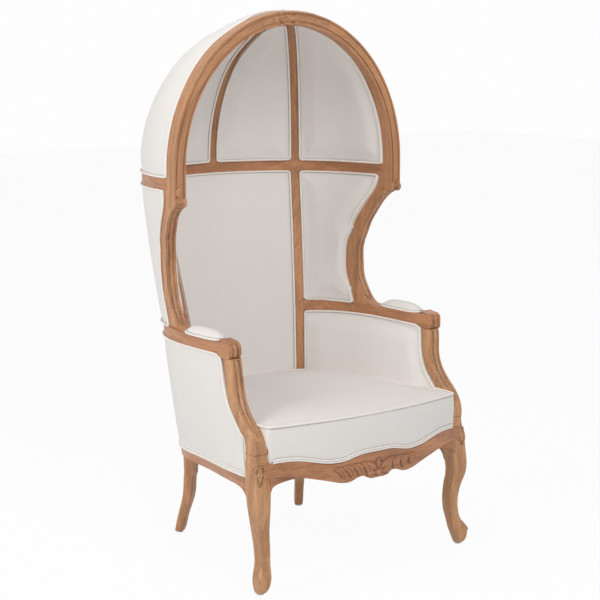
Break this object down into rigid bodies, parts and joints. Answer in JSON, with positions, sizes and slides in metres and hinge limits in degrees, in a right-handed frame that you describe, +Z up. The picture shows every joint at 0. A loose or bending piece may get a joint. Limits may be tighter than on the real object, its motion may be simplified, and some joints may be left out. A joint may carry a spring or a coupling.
{
  "type": "hall porter chair",
  "caption": "Show-wood armchair with a domed, ribbed hood on a tall curved back, cabriole legs, scrolled arms, open wings and a crowned seat; padded inside and covered outside.",
  "frame": {"origin": "middle of the floor area the chair takes up, on the floor", "axes": "+X to the right as seen from in front, +Y from the front to the back, +Z up"},
  "size_m": [0.8162, 0.832, 1.55],
  "materials": {
    "oak": "carved oak, stained mid brown and waxed",
    "dowel_wood": "plain beech",
    "linen": "off-white linen, piped in the same cloth",
    "foam": "seat foam",
    "webbing": "jute webbing",
    "lining": "black lining cloth",
    "screw_steel": "zinc-plated steel",
    "glide_nylon": "pale nylon"
  },
  "bodies": {
    "root": {"arm_left": "oak", "arm_pad_left": "linen", "arm_pad_right": "linen", "arm_post_left": "oak", "arm_post_right": "oak", "arm_right": "oak", "back_rail": "oak", "corner_block_screws": "screw_steel", "corner_blocks": "oak", "crown_block": "oak", "dome_back_pad_left": "linen", "dome_back_pad_right": "linen", "dome_rib_centre": "oak", "dome_rib_left": "oak", "dome_rib_right": "oak", "dome_side_pad_left": "linen", "dome_side_pad_right": "linen", "dowels": "dowel_wood", "dust_cover": "lining", "front_leg_left": "oak", "front_leg_right": "oak", "front_rail": "oak", "glides": "glide_nylon", "hoop_left": "oak", "hoop_right": "oak", "inner_arm_pad_left": "linen", "inner_arm_pad_right": "linen", "inner_back_pad": "linen", "inner_wing_pad_left": "linen", "inner_wing_pad_right": "linen", "outer_arm_cover_left": "linen", "outer_arm_cover_right": "linen", "outer_back_cover": "linen", "outer_dome_cover_left": "linen", "outer_dome_cover_right": "linen", "outer_wing_cover_left": "linen", "outer_wing_cover_right": "linen", "rear_post_left": "oak", "rear_post_right": "oak", "seat_cover": "linen", "seat_foam": "foam", "seat_webbing": "webbing", "side_rail_left": "oak", "side_rail_right": "oak", "springing_rail_back": "oak", "springing_rail_left": "oak", "springing_rail_right": "oak", "wing_post_left": "oak", "wing_post_right": "oak"}
  },
  "joints": []
}
